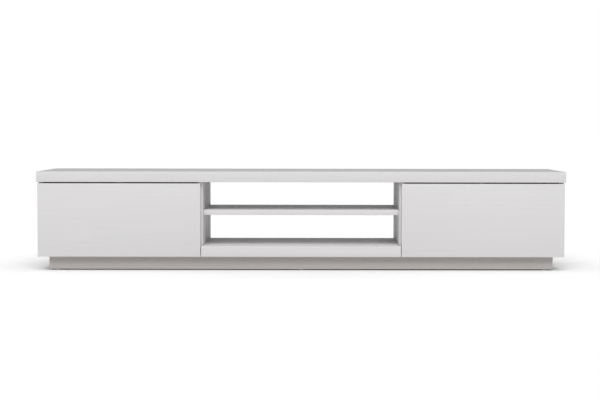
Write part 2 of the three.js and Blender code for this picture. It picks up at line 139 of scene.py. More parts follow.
# %% Box and bar blanks
def add_box(name, low, high):
    clear_selection()
    low, high = Vector(low), Vector(high)
    size = [abs(side) for side in high - low]
    bpy.ops.mesh.primitive_cube_add(size=1, location=(low + high) / 2, scale=size)
    return settle(name)


TURN_TO = {"X": (0, math.pi / 2, 0), "Y": (math.pi / 2, 0, 0), "Z": (0, 0, 0)}


def add_bar(name, axis, radius, start, end, through=(0, 0, 0), sides=48):
    clear_selection()
    place = Vector(through)
    place["XYZ".index(axis)] = (start + end) / 2
    bpy.ops.mesh.primitive_cylinder_add(
        vertices=sides, radius=radius, depth=abs(end - start), location=place, rotation=TURN_TO[axis]
    )
    return settle(name)


# %% [markdown]
# ## Shaping
# Edges are rounded with the bevel operator, on edges picked by where their two ends lie. A face
# is sunk by an inset and an extrusion. Cutting and joining use the boolean modifier, applied at
# once: it leaves the clean closed body that a saw or a weld would.

# %% Rounding, sinking, cutting and welding
HAIR = 0.1 * MM  # two places closer than this count as one


def round_edges(piece, width, segments=3, chosen=lambda a, b: True):
    pick(piece)
    bpy.ops.object.mode_set(mode="EDIT")
    bpy.ops.mesh.select_mode(type="EDGE")
    bpy.ops.mesh.select_all(action="DESELECT")
    bpy.ops.object.mode_set(mode="OBJECT")
    points = piece.data.vertices
    for edge in piece.data.edges:
        edge.select = chosen(*(points[i].co for i in edge.vertices))
    bpy.ops.object.mode_set(mode="EDIT")
    bpy.ops.mesh.bevel(offset=width, segments=segments, affect="EDGES")
    bpy.ops.object.mode_set(mode="OBJECT")


def sink_face(piece, chosen, inset, depth):
    """Insets each flat face that passes the test, and pushes its middle in by a depth."""
    pick(piece)
    bpy.ops.object.mode_set(mode="EDIT")
    bpy.ops.mesh.select_mode(type="FACE")
    bpy.ops.mesh.select_all(action="DESELECT")
    bpy.ops.object.mode_set(mode="OBJECT")
    inward = Vector()
    for face in piece.data.polygons:
        face.select = chosen(face.center, face.normal)
        if face.select:
            inward = -face.normal
    bpy.ops.object.mode_set(mode="EDIT")
    bpy.ops.mesh.inset(thickness=inset)
    bpy.ops.mesh.extrude_region_move(TRANSFORM_OT_translate={"value": inward * depth})
    bpy.ops.object.mode_set(mode="OBJECT")


def combine(piece, other, how):
    pick(piece)
    step = piece.modifiers.new("combine", "BOOLEAN")
    step.operation = how
    step.object = other
    step.solver = "EXACT"
    bpy.ops.object.modifier_apply(modifier=step.name)
    bpy.data.objects.remove(other)


def carve(piece, *cutters):
    for cutter in cutters:
        combine(piece, cutter, "DIFFERENCE")


def weld(piece, *others):
    for other in others:
        combine(piece, other, "UNION")


def along(axis):
    """A test for the edges that run along an axis."""
    index = "XYZ".index(axis)
    return lambda a, b: abs((b - a).normalized()[index]) > 0.99


def across(axis):
    """A test for the edges that lie square to an axis, such as the rims of a bar."""
    index = "XYZ".index(axis)
    return lambda a, b: abs(a[index] - b[index]) < HAIR


def above(axis, level):
    """A test for the edges that lie at a level or past it."""
    index = "XYZ".index(axis)
    return lambda a, b: min(a[index], b[index]) > level - HAIR


def below(axis, level):
    index = "XYZ".index(axis)
    return lambda a, b: max(a[index], b[index]) < level + HAIR


# %% [markdown]
# ## Copies and twins
# What repeats is modelled once. A copy gets a mesh of its own, since the frame moves each piece
# by itself, and the left twin of a right-hand piece is its mirror image. Mirroring turns a
# shape inside out, so the twin's faces are turned outwards again.

# %% Copying and mirroring
def copy_piece(piece, name, place=(0, 0, 0), facing=None, scale=1.0):
    """A copy moved by a place, and first scaled and turned so that its +Z faces a direction."""
    twin = piece.copy()
    twin.data = piece.data.copy()
    bpy.context.scene.collection.objects.link(twin)
    pick(twin)
    if facing:
        twin.rotation_euler = Vector(facing).to_track_quat("Z", "Y").to_euler()
    twin.scale = (scale,) * 3
    twin.location = place
    return settle(name)


def left_twin(piece):
    twin = copy_piece(piece, piece.name.replace("right", "left"))
    pick(twin)
    twin.scale.x = -1
    bpy.ops.object.transform_apply(scale=True)
    bpy.ops.object.mode_set(mode="EDIT")
    bpy.ops.mesh.select_all(action="SELECT")
    bpy.ops.mesh.normals_make_consistent(inside=False)
    bpy.ops.object.mode_set(mode="OBJECT")
    return twin


# %% [markdown]
# ## Handing over
# A finished piece gets its finish and soft shading, and the frame is told which body carries it
# and which plain node it stands for. Most pieces of the right cabinet are handed over together
# with their left twin. Shading by angle keeps the flats flat and the bevels soft, where plain
# smooth shading would smear light over the whole board.

# %% Handing pieces to the frame
handed = []


def hand_over(piece, body, finishes, nodes=(), smooth=30):
    """Finishes a piece; edges that turn by more than smooth, in degrees, stay crisp."""
    for finish in finishes[len(piece.data.materials):]:
        piece.data.materials.append(finish)
    pick(piece)
    bpy.ops.object.shade_smooth_by_angle(angle=math.radians(smooth))
    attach(piece, body)
    if nodes:
        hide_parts(*nodes)
    handed.append(piece.name)
    return piece


def hand_over_pair(piece, body, finishes, nodes=(), smooth=30):
    twin = left_twin(piece)
    hand_over(piece, body, finishes, nodes, smooth)
    left_nodes = [node.replace("right", "left") for node in nodes]
    hand_over(twin, body.replace("right", "left"), finishes, left_nodes, smooth)


# %% [markdown]
# ## How a finish is built
# A finish is a small network of nodes on object coordinates, so its pattern is as large as the
# real thing and stays on a piece when it moves. Noise is stretched with a mapping node, turned
# into a colour with a ramp or into a number with a range, and into relief with a bump node.

# %% Node helpers
def new_finish(name, roughness, metallic=0.0):
    finish = bpy.data.materials.new(name)
    finish.use_nodes = True
    shader = finish.node_tree.nodes["Principled BSDF"]
    shader.inputs["Metallic"].default_value = metallic
    shader.inputs["Roughness"].default_value = roughness
    return finish, shader


def connect(finish, value, node, socket):
    finish.node_tree.links.new(value, node.inputs[socket])


def add_noise(finish, stretch, scale, detail=3.0):
    """Noise that is finer along an axis whose stretch is larger."""
    nodes = finish.node_tree.nodes
    place = nodes.new("ShaderNodeTexCoord")
    mapping = nodes.new("ShaderNodeMapping")
    mapping.inputs["Scale"].default_value = stretch
    noise = nodes.new("ShaderNodeTexNoise")
    noise.inputs["Scale"].default_value = scale
    noise.inputs["Detail"].default_value = detail
    connect(finish, place.outputs["Object"], mapping, "Vector")
    connect(finish, mapping.outputs["Vector"], noise, "Vector")
    return noise.outputs["Fac"]


def add_ramp(finish, value, low, high, start=0.3, end=0.7):
    ramp = finish.node_tree.nodes.new("ShaderNodeValToRGB")
    for element, position, colour in zip(ramp.color_ramp.elements, (start, end), (low, high)):
        element.position = position
        element.color = (*colour, 1)
    connect(finish, value, ramp, "Fac")
    return ramp.outputs["Color"]


def add_range(finish, value, low, high):
    spread = finish.node_tree.nodes.new("ShaderNodeMapRange")
    spread.inputs["From Min"].default_value = 0.3
    spread.inputs["From Max"].default_value = 0.7
    spread.inputs["To Min"].default_value = low
    spread.inputs["To Max"].default_value = high
    connect(finish, value, spread, "Value")
    return spread.outputs["Result"]


def add_mix(finish, factor, first, second, blend="MIX"):
    mix = finish.node_tree.nodes.new("ShaderNodeMix")
    mix.data_type = "RGBA"
    mix.blend_type = blend
    for socket, value in ((0, factor), (6, first), (7, second)):
        if isinstance(value, bpy.types.NodeSocket):
            connect(finish, value, mix, socket)
        else:
            mix.inputs[socket].default_value = value
    return mix.outputs[2]


def add_bump(finish, height, strength, distance, under=None):
    bump = finish.node_tree.nodes.new("ShaderNodeBump")
    bump.inputs["Strength"].default_value = strength
    bump.inputs["Distance"].default_value = distance
    connect(finish, height, bump, "Height")
    if under:
        connect(finish, under, bump, "Normal")
    return bump.outputs["Normal"]


# %% [markdown]
# ## White laminate
# The boards are chipboard under a printed paper that is soaked in resin and pressed on. This
# white is almost even: faint streaks run along the board, the gloss drifts a little, and a
# shallow pressed grain shows only in raking light. An image of the paper would show more, but
# would repeat; stretched noise never does. The plinth wears a slightly warm paper, made darker
# to paint the shade that falls on it under the overhanging body.

# %% Laminates
WHITE_PAPER = (0.800, 0.786, 0.791)
# darker plinth paper: painted shade of the recess under the body, with a slight warm tint
SHADED_PLINTH_PAPER = (0.660, 0.622, 0.602)
BAND_TINT = (1.008, 1.012, 1.002, 1)  # the edge band against the paper
STRETCH = {"X": (1, 30, 30), "Y": (30, 1, 30)}
EVEN = (1, 1, 1)
STREAK_SCALE = 3.5
CLOUD_SCALE = 2.2
PORE_SCALE = 22
PEEL_SCALE = 900


def laminate(name, paper, axis):
    finish, shader = new_finish(f"{name}_along_{axis.lower()}", 0.5)
    streaks = add_noise(finish, STRETCH[axis], STREAK_SCALE, detail=6)
    low = [0.978 * part for part in paper]
    high = [1.012 * part for part in paper]
    printed = add_ramp(finish, streaks, low, high, 0.25, 0.75)
    clouds = add_noise(finish, EVEN, CLOUD_SCALE, detail=2)
    drift = add_ramp(finish, clouds, (0.988, 0.988, 0.990), (1, 1, 1))
    face_colour = add_mix(finish, 1.0, printed, drift, "MULTIPLY")
    band = finish.node_tree.nodes.new("ShaderNodeAttribute")
    band.attribute_name = "edging"
    banded = add_mix(finish, 1.0, face_colour, BAND_TINT, "MULTIPLY")
    colour = add_mix(finish, band.outputs["Fac"], face_colour, banded)
    connect(finish, colour, shader, "Base Color")
    connect(finish, add_range(finish, streaks, 0.42, 0.52), shader, "Roughness")
    pores = add_noise(finish, [1.6 * side for side in STRETCH[axis]], PORE_SCALE, detail=4)
    grain = add_bump(finish, pores, 0.35, 0.2 * MM)
    peel = add_noise(finish, EVEN, PEEL_SCALE, detail=1)
    connect(finish, add_bump(finish, peel, 0.15, 0.05 * MM, grain), shader, "Normal")
    return finish


white_long = laminate("white_laminate", WHITE_PAPER, "X")
white_deep = laminate("white_laminate", WHITE_PAPER, "Y")
shaded_plinth_long = laminate("shaded_plinth_laminate", SHADED_PLINTH_PAPER, "X")
shaded_plinth_deep = laminate("shaded_plinth_laminate", SHADED_PLINTH_PAPER, "Y")
print("laminates:", [finish.name for finish in (white_long, white_deep, shaded_plinth_long, shaded_plinth_deep)])

# %% [markdown]
# ## Raw boards
# Where a groove or a bore cuts through the laminate, the chipboard shows: pale and dark chips at
# two sizes. The back panels are thin fibreboard, white on both faces and brown at a cut edge.
# Two noises of unlike scale, mixed evenly, give chips and dust at once; one alone looks like fog.

# %% Chipboard and fibreboard
def speckled(name, low, high, scale, roughness, bump):
    finish, shader = new_finish(name, roughness)
    coarse = add_noise(finish, EVEN, scale, detail=5)
    fine = add_noise(finish, EVEN, 6 * scale, detail=2)
    chips = add_ramp(finish, coarse, low, high, 0.35, 0.65)
    dust = add_ramp(finish, fine, low, high, 0.35, 0.65)
    connect(finish, add_mix(finish, 0.5, chips, dust), shader, "Base Color")
    connect(finish, add_range(finish, coarse, roughness - 0.05, roughness + 0.05), shader, "Roughness")
    connect(finish, add_bump(finish, coarse, bump, 0.3 * MM), shader, "Normal")
    return finish


chipboard = speckled("raw_chipboard", (0.30, 0.20, 0.11), (0.62, 0.47, 0.30), 260, 0.85, 0.6)
white_fibre = speckled("white_fibreboard", (0.70, 0.695, 0.68), (0.76, 0.755, 0.74), 140, 0.6, 0.15)
brown_fibre = speckled("brown_fibreboard", (0.16, 0.09, 0.045), (0.27, 0.165, 0.09), 400, 0.8, 0.3)
print("raw boards:", [finish.name for finish in (chipboard, white_fibre, brown_fibre)])

# %% [markdown]
# ## Metals
# Hinges and plates are rolled steel with a bright nickel plating; pins and rods have a duller
# zinc plating. Rolling leaves fine lines, and the plating bath leaves patches of uneven gloss.
# One even roughness would make the plates look cut from foil, so both are drawn with noise.

# %% Plated steel
def plated(name, low, high, roughness, brush):
    finish, shader = new_finish(name, roughness, metallic=1.0)
    lines = add_noise(finish, (2, 60, 60), 30, detail=3)
    patches = add_noise(finish, EVEN, 60, detail=4)
    connect(finish, add_ramp(finish, patches, low, high), shader, "Base Color")
    connect(finish, add_range(finish, patches, roughness - 0.06, roughness + 0.1), shader, "Roughness")
    connect(finish, add_bump(finish, lines, brush, 0.02 * MM), shader, "Normal")
    return finish


nickel = plated("nickel_plate", (0.60, 0.595, 0.58), (0.72, 0.715, 0.70), 0.26, 0.25)
zinc = plated("zinc_plate", (0.36, 0.37, 0.38), (0.48, 0.49, 0.50), 0.36, 0.3)
print("metals:", nickel.name, zinc.name)

# %% [markdown]
# ## Plastics and rubber
# Moulded parts copy the fine spark-eroded texture of their mould, and their gloss is a little
# uneven where the plastic flowed. The bumpers are clear soft rubber, which looks frosted. At the
# size of a bumper, a pale matt surface reads as frosted rubber and needs no light passed through.

# %% Moulded finishes
def moulded(name, colour, roughness, grain=700):
    finish, shader = new_finish(name, roughness)
    cloud = add_noise(finish, EVEN, 25, detail=3)
    low = [0.92 * part for part in colour]
    connect(finish, add_ramp(finish, cloud, low, colour), shader, "Base Color")
    connect(finish, add_range(finish, cloud, roughness - 0.04, roughness + 0.06), shader, "Roughness")
    texture = add_noise(finish, EVEN, grain, detail=2)
    connect(finish, add_bump(finish, texture, 0.3, 0.05 * MM), shader, "Normal")
    return finish


grey_plastic = moulded("grey_plastic", (0.42, 0.43, 0.44), 0.45)
white_plastic = moulded("white_plastic", (0.76, 0.76, 0.75), 0.4)
glide_nylon = moulded("glide_nylon", (0.56, 0.555, 0.54), 0.45)
frosted_rubber = moulded("frosted_rubber", (0.66, 0.67, 0.68), 0.35, grain=200)
print("moulded:", [finish.name for finish in (grey_plastic, white_plastic, glide_nylon, frosted_rubber)])

# %% [markdown]
# ## Boards
# A laminated board is a slab with a thin plastic band ironed round its edges, whose corners a
# trimmer rounds off. Each board is a cube at the size that the frame gives, with its edges
# bevelled in edit mode. A live bevel modifier would do the same, but would round later cuts too,
# and real grooves are cut sharp after the band is on. An attribute marks the banded faces, so
# the finish knows them; faces inside a cut get the raw board.

# %% Board maker
EDGE_ROUND = 0.6 * MM
SLAB_ROUND = 0.9 * MM
GROOVE_GAP = 0.3 * MM  # round a back panel in its groove


def mark_faces(board, low, high):
    thin = min(range(3), key=lambda i: high[i] - low[i])
    edging = board.data.attributes.new("edging", "FLOAT", "FACE")
    for face, mark in zip(board.data.polygons, edging.data):
        mark.value = 0.0 if abs(face.normal[thin]) > 0.9 else 1.0
        depth = min(min(face.center[i] - low[i], high[i] - face.center[i]) for i in range(3))
        face.material_index = 1 if depth > 2 * EDGE_ROUND else 0


def saw_board(node, cutters=(), rounding=EDGE_ROUND):
    low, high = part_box(node)
    board = add_box(f"{node}_board", low, high)
    round_edges(board, rounding)
    carve(board, *cutters)
    mark_faces(board, low, high)
    return board


def back_groove(label):
    """A cutter as large as a back panel and its clearance, for the boards that hold it."""
    low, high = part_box(f"{label}_back_panel")
    room = Vector((GROOVE_GAP,) * 3)
    return add_box("groove_cutter", low - room, high + room)


# %% [markdown]
# ## Body
# The long boards cross the whole stand: the thick top, the base, and the floor, shelf and front
# strip of the open bay. The grain runs along them, and from front to back on the uprights.
# Grooves in the top, base and uprights hold the back panels: each is cut with a box as large as
# the panel and its clearance, as a saw would cut it.

# %% Body boards
for node in ("top_panel", "base_panel"):
    rounding = SLAB_ROUND if node == "top_panel" else EDGE_ROUND
    board = saw_board(node, [back_groove("left"), back_groove("right")], rounding)
    hand_over(board, CARCASS, (white_long, chipboard), (node,))
for node in ("bay_floor", "bay_fascia", "bay_shelf"):
    hand_over(saw_board(node), CARCASS, (white_long, chipboard), (node,))
for node in ("right_side_panel", "right_divider"):
    board = saw_board(node, [back_groove("right")])
    hand_over_pair(board, CARCASS, (white_deep, chipboard), (node,))
print("body boards:", len(handed))

# %% [markdown]
# ## Plinth
# The body stands on a low frame of six boards, set back from the front and both ends so that
# toes fit under it. It wears a darker, slightly warm laminate that paints the shade under the
# body's overhang, and its short boards have their grain from front to back. Boards of their own
# show the joints at the corners, which one block would not.

# %% Plinth boards
# the plinth's darker laminate paints the shade that falls under the body's overhang
for node in ("plinth_front", "plinth_back"):
    hand_over(saw_board(node), CARCASS, (shaded_plinth_long, chipboard), (node,))
for node in ("plinth_right_end", "plinth_right_rail"):
    hand_over_pair(saw_board(node), CARCASS, (shaded_plinth_deep, chipboard), (node,))
print("boards so far:", len(handed))

# %% [markdown]
# ## Flap fronts
# Each flap is one flat board with no handle, since a press opens it. Two round cups are bored
# into its back with a 35 mm drill, and the bores stop 4.5 mm short of the front. Each bore is
# cut with a bar that stands out past the board's back, so that no two faces lie in one plane,
# which a boolean handles badly.

# %% Flap boards
CUP_BORE_RADIUS = 17.5 * MM
CUP_BORE_DEPTH = 13.5 * MM
CUP_RISE = 13 * MM  # the cup's middle above the hinge's axis
flap_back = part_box("right_flap_panel")[1].y
cup_places = []
for place in ("outer", "inner"):
    low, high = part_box(f"right_{place}_hinge_cup")
    axis_z = joint_places["right_flap_hinge"].z
    cup_places.append(((low.x + high.x) / 2, flap_back, axis_z + CUP_RISE))
bores = [
    add_bar("cup_cutter", "Y", CUP_BORE_RADIUS, flap_back - CUP_BORE_DEPTH, flap_back + MM, middle, 64)
    for middle in cup_places
]
flap = saw_board("right_flap_panel", bores)
hand_over_pair(flap, FLAP, (white_long, chipboard), ("right_flap_panel",))
print("hinge bores at x =", [round(place[0], 4) for place in cup_places])

# %% [markdown]
# ## Back panels
# A thin fibreboard slides into the grooves behind each cabinet, and a round hole in it lets
# cables out. The hole is cut with a bar by a boolean, and the faces that look sideways get the
# brown of the fibre, since only the two large faces are painted.

# %% Back panels
OUTLET_RADIUS = 30 * MM
low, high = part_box("right_back_panel")
outlet = ((low.x + high.x) / 2, 0, (low.z + high.z) / 2)
back_panel = add_box("right_back_panel_sheet", low, high)
round_edges(back_panel, 0.3 * MM, segments=1)
carve(back_panel, add_bar("outlet_cutter", "Y", OUTLET_RADIUS, low.y - MM, high.y + MM, outlet, 96))
for face in back_panel.data.polygons:
    face.material_index = 0 if abs(face.normal.y) > 0.9 else 1
finishes = (white_fibre, brown_fibre)
hand_over_pair(back_panel, CARCASS, finishes, ("right_back_panel",))
print("outlet at", [round(side, 4) for side in outlet])

# %% [markdown]
# ## Cable grommets
# A flanged plastic ring, pushed in from behind, keeps the hole's edge from fraying and from
# scuffing the cables. It is two bars welded and bored, and its back rims are rounded together by
# one bevel. A spun profile would also do, but its round lip would take many more points.

# %% Cable grommets
low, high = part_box("right_cable_grommet")
RING_RADIUS = OUTLET_RADIUS - 0.3 * MM
FLANGE_RADIUS = 35 * MM
RING_WALL = 3 * MM
flange_front = high.y - 1.5 * MM
grommet = add_bar("right_cable_grommet_ring", "Y", RING_RADIUS, low.y, high.y - 0.2 * MM, outlet, 96)
weld(grommet, add_bar("flange", "Y", FLANGE_RADIUS, flange_front, high.y, outlet, 96))
carve(grommet, add_bar("ring_bore", "Y", RING_RADIUS - RING_WALL, low.y - MM, high.y + MM, outlet, 96))
round_edges(grommet, 0.6 * MM, 3, above("Y", high.y))
hand_over_pair(grommet, CARCASS, (grey_plastic,), ("right_cable_grommet",))
print("grommet has", len(grommet.data.polygons), "faces")

# %% [markdown]
# ## Screws
# Every fitting is held by low-headed screws with a cross recess. One screw is turned from a bar
# and its recess cut with two crossed blades, and it is then copied to each hole, facing out of
# the plate that it holds. A plain disc would pass from afar but not with a flap open.

# %% The master screw
HEAD_RADIUS = 3.4 * MM
HEAD_HEIGHT = 0.8 * MM
RECESS_FLOOR = 0.15 * MM
SHANK_RADIUS = 1.8 * MM
SHANK_LENGTH = 4 * MM
HOLE_RADIUS = 2.2 * MM  # the clearance hole in each plate
screw = add_bar("screw", "Z", HEAD_RADIUS, 0, HEAD_HEIGHT, sides=32)
round_edges(screw, 0.5 * MM, 3, above("Z", HEAD_HEIGHT))
blade = (0.45 * MM, 2.0 * MM)
for half_x, half_y in (blade, blade[::-1]):
    carve(screw, add_box("blade", (-half_x, -half_y, RECESS_FLOOR), (half_x, half_y, 2 * MM)))
weld(screw, add_bar("shank", "Z", SHANK_RADIUS, -SHANK_LENGTH, 0.05 * MM, sides=16))
print("screw has", len(screw.data.polygons), "faces")
screws = 0


def drive_screws(name, places, facing, body, scale=1.0):
    global screws
    for number, place in enumerate(places):
        driven = copy_piece(screw, f"right_{name}_screw_{number}", place, facing, scale)
        hand_over_pair(driven, body, (nickel,))
        screws += 2


# %% [markdown]
# ## Hinge cups
# A cup hinge is a cast cup pressed into the flap's bore, with a stamped flange screwed to its
# back face. The cup is a bar with a rounded floor, the flange a plate with round corners. A slot
# lets the arm swing in, and two pockets lighten the casting and leave the cheeks that hold the
# pin. One cup is made at the outer place, and copied to the inner place and the other side.

# %% Hinge cup
HINGES = ("outer", "inner")
axis = joint_places["right_flap_hinge"]
outer_x = cup_places[0][0]
inner_shift = (cup_places[1][0] - outer_x, 0, 0)


def at_hinge(x, y, z):
    """A place given in millimetres from the outer hinge's pin."""
    return Vector((outer_x + x * MM, axis.y + y * MM, axis.z + z * MM))


CUP_RADIUS = 17.2 * MM
PIN_RADIUS = 1.5 * MM
PIN_BORE_RADIUS = PIN_RADIUS + 0.15 * MM
cup_floor = axis.y - 3.7 * MM
cup_rim = axis.y + 11 * MM
cup = add_bar("cup", "Y", CUP_RADIUS, cup_floor, cup_rim, at_hinge(0, 0, CUP_RISE / MM), 96)
round_edges(cup, 1.2 * MM, 4, below("Y", cup_floor))
flange = add_box("flange", at_hinge(-28, 9.8, 3), at_hinge(28, 11, 24))
round_edges(flange, 5 * MM, 6, along("Y"))
round_edges(flange, 0.3 * MM, 2, above("Y", cup_rim))
weld(cup, flange)
carve(
    cup,
    add_box("rim_relief", at_hinge(-40, 9.5, -20), at_hinge(40, 13, 3)),
    add_box("slot", at_hinge(-4.4, -3, -3), at_hinge(4.4, 13, 16.8)),
    add_bar("pin_bore", "X", PIN_BORE_RADIUS, outer_x - 7.8 * MM, outer_x + 7.8 * MM, axis, 24),
)
for end in (-1, 1):
    pocket = add_box("pocket", at_hinge(end * 8.8, -2, 5), at_hinge(end * 13.2, 13, 21))
    round_edges(pocket, 1.6 * MM, 3, along("Y"))
    carve(cup, pocket)
print("cup has", len(cup.data.polygons), "faces")

# %% [markdown]
# ## Hinge pins
# The pin is a steel bar across the cup's slot, held in the cheeks at both its ends, and the arm
# turns on it. It is a bar with both rims rounded off, so that it can be driven in.

# %% Hinge pin
PIN_HALF = 7.5 * MM
pin = add_bar("pin", "X", PIN_RADIUS, outer_x - PIN_HALF, outer_x + PIN_HALF, axis, 32)
round_edges(pin, 0.4 * MM, 2, across("X"))
print("pin is", round(2 * PIN_HALF / MM), "mm long")


# %% [markdown]
# ## Hinge arms
# The arm is rolled round the pin at one end, rises in front of the body's edge, and runs back
# over the base to a foot with two screws and an adjusting screw between them. The real one is
# bent from one strip. Here it is welded from blanks, as each of them is then easy to place.

# %% Hinge arm
KNUCKLE_RADIUS = 2.6 * MM
ARM_TOP = 13.8  # millimetres above the pin
ARM_UNDER = 10.8
foot_top = axis.z + ARM_TOP * MM
arm = add_bar("arm", "X", KNUCKLE_RADIUS, outer_x - 4 * MM, outer_x + 4 * MM, axis, 48)
post = add_box("post", at_hinge(-4, -1.5, 0), at_hinge(4, 1.5, ARM_TOP))
round_edges(post, 1.4 * MM, 4, lambda a, b: max(a.y, b.y) < axis.y and above("Z", foot_top)(a, b))
foot = add_box("foot", at_hinge(-16, 16.5, ARM_UNDER), at_hinge(16, 54.5, ARM_TOP))
round_edges(foot, 4 * MM, 5, along("Z"))
round_edges(foot, 0.5 * MM, 2, above("Z", foot_top))
strip = add_box("strip", at_hinge(-4, -1, ARM_UNDER), at_hinge(4, 30, ARM_TOP))
rib = add_box("rib", at_hinge(-5, 17, 12), at_hinge(5, 52, 15))
round_edges(rib, 1 * MM, 3, above("Z", axis.z + 15 * MM))
weld(arm, post, foot, strip, rib)
carve(arm, add_bar("pin_bore", "X", PIN_BORE_RADIUS, outer_x - 5 * MM, outer_x + 5 * MM, axis, 24))
past_top = axis.z + 20 * MM
for end in (-1, 1):
    carve(arm, add_bar("hole", "Z", HOLE_RADIUS, axis.z, past_top, at_hinge(10 * end, 35.5, 0), 24))
adjuster = at_hinge(0, 26, 14)
carve(arm, add_bar("screw_bed", "Z", HEAD_RADIUS, adjuster.z, past_top, adjuster, 32))
print("arm has", len(arm.data.polygons), "faces")

# %% [markdown]
# ## Hinges in their places
# The three hinge parts are copied to both places of each cabinet, with five screws each: two in
# the cup's flange, two in the arm's foot, and the adjusting screw between those. The cup and pin
# swing with the flap and the arm stays with the body, so they are handed to different bodies.

# %% Place both hinges of each cabinet
for hinge, shift in zip(HINGES, ((0, 0, 0), inner_shift)):
    nodes = {kind: f"right_{hinge}_hinge_{kind}" for kind in ("cup", "pin", "arm")}
    hinge_cup = copy_piece(cup, f"{nodes['cup']}_fitting", shift)
    hand_over_pair(hinge_cup, FLAP, (nickel,), (nodes["cup"],))
    hinge_pin = copy_piece(pin, f"{nodes['pin']}_fitting", shift)
    hand_over_pair(hinge_pin, FLAP, (zinc,), (nodes["pin"],))
    hinge_arm = copy_piece(arm, f"{nodes['arm']}_fitting", shift)
    hand_over_pair(hinge_arm, CARCASS, (nickel,), (nodes["arm"],))
    cup_holes = [at_hinge(end * 22.5, 11, 13.5) + Vector(shift) for end in (-1, 1)]
    drive_screws(f"{hinge}_cup", cup_holes, (0, 1, 0), FLAP)
    foot_holes = [at_hinge(end * 10, 35.5, ARM_TOP) + Vector(shift) for end in (-1, 1)]
    drive_screws(f"{hinge}_foot", foot_holes, (0, 0, 1), CARCASS)
    drive_screws(f"{hinge}_adjuster", [adjuster + Vector(shift)], (0, 0, 1), CARCASS)
for blank in (cup, pin, arm):
    bpy.data.objects.remove(blank)
print("screws driven:", screws)

# %% [markdown]
# ## Bumpers
# Soft domes on the flap's upper corners stop it from knocking. Each is a short bar whose free
# rim is rounded so far that it becomes a dome. Half a sphere would be rounder than the real
# ones, which are low and flat in the middle.

# %% Bumpers
BUMPER_RADIUS = 4 * MM
for place in HINGES:
    node = f"right_{place}_bumper"
    low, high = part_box(node)
    middle = (low + high) / 2
    bumper = add_bar(f"{node}_dome", "Y", BUMPER_RADIUS, low.y, high.y, middle, 48)
    round_edges(bumper, 1.9 * MM, 6, above("Y", high.y))
    hand_over_pair(bumper, FLAP, (frosted_rubber,), (node,), smooth=50)
    print(node, "stands", round((high.y - low.y) / MM, 1), "mm proud")

# %% [markdown]
# ## Flap stays
# A braked rod lets each flap down softly. The rod turns on a bracket on the flap and slides
# through a swivel block on the side panel. The block and the rod lie aslant, so they are drawn
# straight about their own pivots, then turned and moved at once. Drawing them aslant from the
# start would make every edge harder to pick.

# %% Stay places
block_pivot = joint_places["right_stay_block_turn"]
rod_pivot = joint_places["right_stay_rod_turn"]
run = block_pivot - rod_pivot
ROD_SLOPE = math.atan2(-run.z, run.y)


def lay_aslant(piece, pivot):
    """Turns a piece that was drawn about the origin to the rod's slope, and moves it to its pivot."""
    pick(piece)
    piece.rotation_euler = (-ROD_SLOPE, 0, 0)
    piece.location = pivot
    bpy.ops.object.transform_apply(location=True, rotation=True, scale=True)
    return piece


print("rod slopes", round(math.degrees(ROD_SLOPE), 2), "degrees")

# %% [markdown]
# ## Stay rod
# The rod has a flat eye at the flap's end, a crimped sleeve that holds it, and a turned stop at
# the other end that catches on the block when the flap is down. Four bars are welded in a row.
# The rod has 50 sides, where 48 would put one of its edges across an edge of the eye and leave
# a sliver there.

# %% Stay rod
ROD_LENGTH = 220.35 * MM
ROD_RADIUS = 3 * MM
RIVET_RADIUS = 2.5 * MM
rod = add_bar("right_stay_rod_fitting", "Y", ROD_RADIUS, 0, ROD_LENGTH - MM, sides=50)
head = add_bar("head", "X", 5 * MM, -3.3 * MM, 3.3 * MM, sides=64)
round_edges(head, 0.2 * MM, 2, across("X"))
sleeve = add_bar("sleeve", "Y", 3.8 * MM, 6.4 * MM, 13 * MM, sides=48)
round_edges(sleeve, 0.5 * MM, 2, across("Y"))
stop = add_bar("stop", "Y", 5 * MM, ROD_LENGTH - 4 * MM, ROD_LENGTH, sides=64)
round_edges(stop, 0.8 * MM, 3, across("Y"))
weld(rod, head, sleeve, stop)
carve(rod, add_bar("rivet_bore", "X", RIVET_RADIUS + 0.15 * MM, -4 * MM, 4 * MM, sides=32))
lay_aslant(rod, rod_pivot)
hand_over_pair(rod, "right_stay_rod", (zinc,), ("right_stay_rod",))
print("rod is", round(ROD_LENGTH / MM, 1), "mm long")

# %% [markdown]
# ## Swivel block
# The block is moulded round two crossing holes: the rod slides through one, and the other turns
# on the base's stub. A screw in its free side presses a shoe on the rod and so sets the brake.
# Its shank is sawn off short of the rod with a box, as the holes are bored with bars.

# %% Swivel block
SLIDE_GAP = 0.4 * MM  # round the rod in the block
STUB_RADIUS = 4 * MM
BRAKE_SCREW_X = -5.6 * MM
swivel = add_box("right_stay_block_fitting", (-6.5 * MM, -8 * MM, -8 * MM), (8 * MM, 8 * MM, 8 * MM))
round_edges(swivel, 1.6 * MM, 4)
for end in (-1, 1):
    ring = add_bar("ring", "Y", 5.2 * MM, end * 7.4 * MM, end * 9 * MM, sides=48)
    carve(swivel, ring)
carve(
    swivel,
    add_bar("rod_bore", "Y", ROD_RADIUS + SLIDE_GAP, -9 * MM, 9 * MM, sides=48),
    add_bar("stub_bore", "X", STUB_RADIUS + 0.15 * MM, 3.8 * MM, 9 * MM, sides=48),
    add_bar("screw_bed", "X", 4.2 * MM, -8 * MM, BRAKE_SCREW_X, sides=48),
)
lay_aslant(swivel, block_pivot)
hand_over_pair(swivel, "right_stay_block", (grey_plastic,), ("right_stay_block",))
brake_screw = copy_piece(screw, "right_brake_screw", (BRAKE_SCREW_X, 0, 0), (-1, 0, 0))
carve(brake_screw, add_box("shank_cutter", (-4.3 * MM, -3 * MM, -3 * MM), (0, 3 * MM, 3 * MM)))
lay_aslant(brake_screw, block_pivot)
hand_over_pair(brake_screw, "right_stay_block", (nickel,))
print("block has", len(swivel.data.polygons), "faces")

# %% [markdown]
# ## Stay base
# The base is a steel plate with two screws, and a boss and a stub on it for the block. The three
# are welded into one, as the real one is riveted, and the plate's free rim is rounded.

